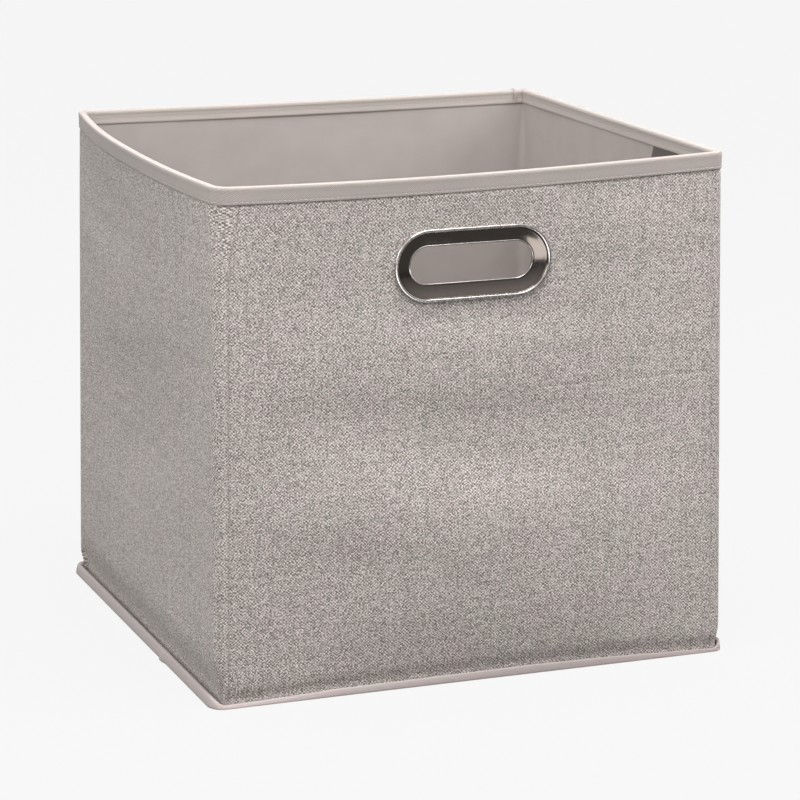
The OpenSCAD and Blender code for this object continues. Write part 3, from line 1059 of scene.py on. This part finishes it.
def makeHem():
    lap = runStart[4] + hem["lapShare"] * runs[4]
    s = wayStations(0.0, wayRound, hem["pitch"])[:-1]
    s = np.unique(np.concatenate([s, lap + np.array(hem["lapRows"])]))
    lapEnd = lap + hem["lapOver"]
    lift = np.where((s > lap) & (s < lapEnd), hem["lapLift"], 0)
    lift = lift * smoothStep((lapEnd - s) / hem["lapFade"])
    tall, out = hemHeight(s) + 0.5 * lift, hemOutAt(s) + lift
    section = [(wallThick, 0.0), (0.5 * mm, 0.0), (-0.94, 0.0), (-1.04, 0.08), (-1.0, 0.3),
               (-0.86, 0.62), (-0.66, 0.9), (-0.48, 0.985), (-0.2, 0.93), (0.9 * mm, 0.78)]
    points, uv = [], []
    around = 0.0
    for k, (inset, share) in enumerate(section):
        # below 0 a share of how far it stands out, above 0 metres inwards
        depth = inset * out if inset < 0 else np.full_like(out, inset)
        points.append(wallPoint(s, share * tall, depth, waves=0.0))
        if k:
            around += float(np.linalg.norm(points[-1] - points[-2], axis=1).mean())
        uv.append(np.stack([s, np.full_like(s, around)], 1))
    piece = newPiece("FootHem", np.concatenate(points), gridFaces(len(section), len(s), wrap=True),
                     hemCloth, np.concatenate(uv))
    roundOff(piece, 1)
    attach(piece, "base_and_back")
    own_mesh(piece)
    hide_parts("hem_front", "hem_back", "hem_left", "hem_right")
    return piece


makeHem()

base = {
    "pitch": 8 * mm,
    "up": 0.35 * mm,  # height of its middle over the floor
    "slack": 0.25 * mm,  # height of its slow waves
    "waves": ((43, 0.4), (37, 1.2)),  # radians per metre and start, both ways
    "thick": 0.6 * mm,
}


def makeBase():
    # The cloth underneath, slightly slack between the hems
    x = steps(-halfX - binShape["flareX"], halfX + binShape["flareX"], base["pitch"])
    y = steps(-halfY - binShape["flareY"], halfY + binShape["flareY"], base["pitch"])
    xGrid, yGrid = np.meshgrid(x, y)
    (rateX, startX), (rateY, startY) = base["waves"]
    ripple = np.sin(rateX * xGrid + startX) * np.sin(rateY * yGrid + startY)
    sag = base["slack"] * (1 + ripple)
    points = np.stack([xGrid, yGrid, base["up"] + sag], -1).reshape(-1, 3)
    uv = points[:, :2] + [wayRound, 0]
    piece = newPiece("BaseCloth", points, gridFaces(len(y), len(x)), weaveCloth, uv)
    thicken(piece, base["thick"])
    piece.data.materials.append(feltCloth)  # the side that is seen round the loose board
    for polygon in piece.data.polygons:
        polygon.material_index = 1 if polygon.normal.z > 0.5 else 0
    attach(piece, "base_and_back")
    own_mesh(piece)
    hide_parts("base_cloth")


makeBase()
print("hem and base made")

# loose base board, wrapped in lining cloth

insert = {
    "edge": 1.2 * mm,  # radius of its edges
    "pitch": 6 * mm,
    "dimple": 0.35 * mm,
    "dimples": ((23, 1), (29, 2)),  # radians per metre and start, both ways
    "calmEdge": 30 * mm,  # they die out over this distance from its edges
}


def makeInsert():
    low, high = insertLow, insertHigh
    e = insert["edge"]
    halfW, halfD = high.x, high.y
    x = np.concatenate([[-halfW, -halfW + 0.3 * e], steps(-halfW + e, halfW - e, insert["pitch"]),
                        [halfW - 0.3 * e, halfW]])
    y = np.concatenate([[-halfD, -halfD + 0.3 * e], steps(-halfD + e, halfD - e, insert["pitch"]),
                        [halfD - 0.3 * e, halfD]])
    xGrid, yGrid = np.meshgrid(x, y)
    edge = np.minimum(halfW - np.abs(xGrid), halfD - np.abs(yGrid))
    drop = e * (1 - np.sqrt(np.clip(1 - (1 - np.clip(edge / e, 0, 1)) ** 2, 0, 1)))
    (rateX, startX), (rateY, startY) = insert["dimples"]
    dents = insert["dimple"] * (np.sin(rateX * xGrid + startX) * np.sin(rateY * yGrid + startY))
    dents = dents * smoothStep(edge / insert["calmEdge"])
    top = np.stack([xGrid, yGrid, high.z - drop + np.minimum(dents, 0)], -1).reshape(-1, 3)
    bottom = np.stack([xGrid, yGrid, np.full_like(xGrid, low.z)], -1).reshape(-1, 3)
    rows, columns = xGrid.shape
    uv = np.concatenate([top[:, :2], bottom[:, :2] + [0, 0.4]])
    piece = newPiece("BaseBoard", np.concatenate([top, bottom]),
                     slabFaces(gridFaces(rows, columns), rows * columns), feltCloth, uv)
    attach(piece, "base_board")
    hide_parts("insert_cover", "insert_board")


makeInsert()
print("base board made")

# oval metal handle

def ovalStations(count):
    # (centre x, direction x, direction z) round the oval
    arc = np.linspace(-math.pi / 2, math.pi / 2, count)
    right = [(gripHalfRun, math.cos(a), math.sin(a)) for a in arc]
    left = [(-gripHalfRun, -math.cos(a), -math.sin(a)) for a in arc]
    return right + left


def wallPlaneAtGrip():
    # where the bowed front wall stands at the grip, and how it leans
    ahead = runStart[6] + gripMiddle.x + runs[6] / 2
    heights = gripMiddle.z + np.array([-1, 0, 1]) * grip["leanOver"]
    y = wallPoint(ahead, heights, 0.0, waves=0.0)[:, 1]
    return y[1], (y[2] - y[0]) / (2 * grip["leanOver"])


wallAtGrip, wallLean = wallPlaneAtGrip()


def sweepOval(name, section, material):
    # carries (radius, depth behind the cloth) round the oval as one closed loop
    way = ovalStations(grip["arcSteps"])
    points = [(gripMiddle.x + cx + r * dx, wallAtGrip + depth + wallLean * r * dz,
               gripMiddle.z + r * dz)
              for r, depth in section for cx, dx, dz in way]
    return newPiece(name, points, gridFaces(len(section), len(way), wrap=True), material)


def finishOval(piece, node):
    roundOff(piece, 2)
    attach(piece, "front_wall")
    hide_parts(node)


handle = {
    "bead": 2.6 * mm,  # rolled outer edge, measured across
    "stands": 1.7 * mm,  # how far it stands off the cloth
    "lipIn": 0.4 * mm,  # how far the rolled lip reaches into the grip hole
    "dish": 1.7 * mm,  # how deep the face dips behind the cloth at the lip
}


def makeHandle():
    r, f = gripHalfTall, slotRadius - handle["lipIn"]
    stands, dish, w = handle["stands"], handle["dish"], handle["bead"]
    back = wallThick
    bead = [(r - 0.3 * mm, 0.5 * mm), (r, 0.1 * mm), (r + 0.02 * mm, -0.45 * stands),
            (r - 0.1 * w, -0.82 * stands), (r - 0.32 * w, -stands), (r - 0.62 * w, -0.98 * stands),
            (r - 0.84 * w, -0.78 * stands)]
    slope = [(r - 0.93 * w, -0.4 * stands), (r - 1.02 * w, -0.2 * stands),
             (r - 1.25 * w, -0.1 * dish), (r - 1.9 * w, 0.36 * dish),
             (r - 2.7 * w, 0.84 * dish), (f + 1.3 * mm, dish + 0.42 * mm)]
    lip = [(f + 1.0 * mm, dish + 0.46 * mm), (f + 0.7 * mm, dish + 0.12 * mm),
           (f + 0.35 * mm, dish + 0.1 * mm), (f + 0.05 * mm, dish + 0.4 * mm), (f, dish + 0.8 * mm)]
    neck = [(f, back - 0.2 * mm), (f + 0.1 * mm, back + 0.9 * mm), (f + 0.5 * mm, back + 1.35 * mm),
            (f + 1.2 * mm, back + 1.45 * mm), (f + 1.9 * mm, back + 1.2 * mm),
            (f + 2.2 * mm, back + 0.75 * mm)]
    piece = sweepOval("HandleFace", bead + slope + lip + neck, gunmetalPlate)
    # the bead's rings take the lighter bead plating and the lip's rings the lighter lip plating,
    # both painted highlight
    piece.data.materials.append(paintedHighlightEdge)
    piece.data.materials.append(paintedHighlightLip)
    columns = len(ovalStations(grip["arcSteps"]))
    firstLip = len(bead + slope)
    for polygon in piece.data.polygons:
        ring = polygon.index // columns
        if ring < len(bead) - 1:
            polygon.material_index = 1
        elif firstLip <= ring < firstLip + len(lip) - 1:
            polygon.material_index = 2
    finishOval(piece, "handle_face")
    inner, outer = f + 1.0 * mm, (washerHigh.z - washerLow.z) / 2
    section = [(inner, back + 0.05 * mm), (inner, back + 0.6 * mm),
               (inner + 0.3 * mm, back + 0.75 * mm),
               (outer - 1.2 * mm, back + 0.75 * mm), (outer - 0.4 * mm, back + 0.6 * mm),
               (outer, back + 0.2 * mm), (outer, back - 0.1 * mm)]
    finishOval(sweepOval("HandleWasher", section, gunmetalPlate), "handle_washer")


makeHandle()
print("handle made")

# blank care label inside the right wall

label = {
    "lean": 8.0 * mm,  # how far its lower edge hangs forward
    "curl": 2.2 * mm,
    "pitch": 1.5 * mm,
    "forward": 5 * mm,
    "underTape": 1.5 * mm,  # how far it is tucked under the tape
    "off": 0.35 * mm,  # its distance from the lining
    "thick": 0.3 * mm,
}


def makeLabel():
    # distance round the wall of the label's two ends, on the right wall's front half
    first = wayRound - (creaseY - labelLow.y) - label["forward"]
    last = wayRound - (creaseY - labelHigh.y) - label["forward"]
    top = topZ - rimTape["insideTall"] + label["underTape"]
    tall = labelHigh.z - labelLow.z
    s, drop = steps(first, last, label["pitch"]), steps(0, tall, label["pitch"])
    sGrid, dGrid = np.meshgrid(s, drop)
    down = dGrid / tall
    curl = label["curl"] * down ** 2
    points = wallPoint(sGrid + label["lean"] * down, top - dGrid,
                       wallThick + label["off"] + curl, waves=rimTape["waves"]).reshape(-1, 3)
    uv = np.stack([sGrid.ravel(), dGrid.ravel()], 1)
    piece = newPiece("CareLabel", points, gridFaces(len(drop), len(s)), labelCloth, uv)
    thicken(piece, label["thick"])
    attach(piece, "right_front_panel")
    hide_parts("care_label")


makeLabel()
print("label made")

# floor, light and camera

studio = {
    "pale": 0.923,  # brightness of the floor and of the room behind
    "floorGlow": 0.965,  # share of that which the floor gives by itself
    "floorBounce": 0.1,  # how much light it throws back up
    "floorMatt": 0.6,  # how much of the rest comes from the light on it
    "floorRoughness": 0.9,
    "horizon": 0.29,  # the room's own soft light, level with the bin
    "overhead": 1.25,  # and from above
    "overheadFrom": 0.9,  # sine of the height from which it is full
    "floorHalf": 12.0,
    # soft boxes: place, target, size, watts
    "key": ((1.45, -1.3, 1.25), (0, -0.1, 0.2), (0.9, 0.9), 18),
    "top": ((0.0, -0.5, 1.7), (0, 0, 0.2), (1.1, 0.7), 30),
    "side": ((-1.7, -0.5, 0.9), (-0.15, 0, 0.2), (0.9, 0.9), 12),
    "gripCard": ((-0.185, -0.885, 0.01), (-0.185, -0.885, 1.0), (0.53, 0.93), 5.4),
}


def makeStage():
    # a pale floor that runs into an equally pale room
    floorMaterial, tree, shader = newMaterial("PaleFloor")
    n = Nodes(tree)
    pale, glow, bounce = studio["pale"], studio["floorGlow"], studio["floorBounce"]
    seen = n.add("ShaderNodeLightPath").outputs["Is Camera Ray"]
    matt = studio["floorMatt"] * (1 - glow)
    n.feed(shader.inputs["Base Color"], n.blend(seen, (bounce,) * 3 + (1,), (matt,) * 3 + (1,)))
    shader.inputs["Emission Color"].default_value = (1, 1, 1, 1)
    n.feed(shader.inputs["Emission Strength"], n.math("MULTIPLY", seen, pale * glow))
    shader.inputs["Roughness"].default_value = studio["floorRoughness"]
    shader.inputs["Specular IOR Level"].default_value = 0.0
    size = studio["floorHalf"]
    corners = [(-size, -size, 0), (size, -size, 0), (size, size, 0), (-size, size, 0)]
    floor = newPiece("Floor", corners, [[0, 1, 2, 3]], floorMaterial, smooth=False)
    world = bpy.data.worlds.new("Studio")
    world.use_nodes = True
    bpy.context.scene.world = world
    n = Nodes(world.node_tree)
    background = world.node_tree.nodes["Background"]
    seen = n.add("ShaderNodeLightPath").outputs["Is Camera Ray"]
    up = n.split(n.add("ShaderNodeTexCoord").outputs["Generated"])[2]
    room = n.span(up, 0, studio["overheadFrom"], studio["horizon"], studio["overhead"])
    n.feed(background.inputs["Strength"], n.span(seen, 0, 1, room, pale))
    background.inputs["Color"].default_value = (1, 1, 1, 1)


def softBox(name, place, target, size, power):
    lamp = bpy.data.lights.new(name, "AREA")
    lamp.shape = "RECTANGLE"
    lamp.size, lamp.size_y = size
    lamp.energy = power
    lightObject = bpy.data.objects.new(name, lamp)
    bpy.context.scene.collection.objects.link(lightObject)
    lightObject.location = place
    lightObject.visible_camera = False
    aim = Vector(target) - Vector(place)
    lightObject.rotation_euler = aim.to_track_quat("-Z", "Y").to_euler()
    return lightObject


makeStage()
keyLight = softBox("KeyLight", *studio["key"])
keyLight.visible_glossy = False
softBox("TopLight", *studio["top"])
softBox("SideLight", *studio["side"])
gripCard = softBox("GripCard", *studio["gripCard"])
gripCard.visible_diffuse = False  # only there to shine in the metal

view = {
    "place": (-0.7153, -1.9526, 0.6266),
    # degrees
    "azimuth": -20.35,
    "elevation": 13.246,
    "roll": -0.09,
    "lens": 153.16 * mm,
    "sensor": 36.0 * mm,
}


def makeCamera():
    data = bpy.data.cameras.new("StudioCamera")
    data.sensor_width = view["sensor"] / mm
    data.lens = view["lens"] / mm
    camera = bpy.data.objects.new("StudioCamera", data)
    bpy.context.scene.collection.objects.link(camera)
    a, e = math.radians(view["azimuth"]), math.radians(view["elevation"])
    forward = Vector((-math.sin(a) * math.cos(e), math.cos(a) * math.cos(e), -math.sin(e)))
    turn = forward.to_track_quat("-Z", "Y").to_matrix().to_4x4()
    camera.matrix_world = (Matrix.Translation(view["place"]) @ turn
                           @ Matrix.Rotation(math.radians(view["roll"]), 4, "Z"))
    bpy.context.scene.camera = camera


makeCamera()
bpy.context.scene.view_settings.view_transform = "Standard"
print("stage made")
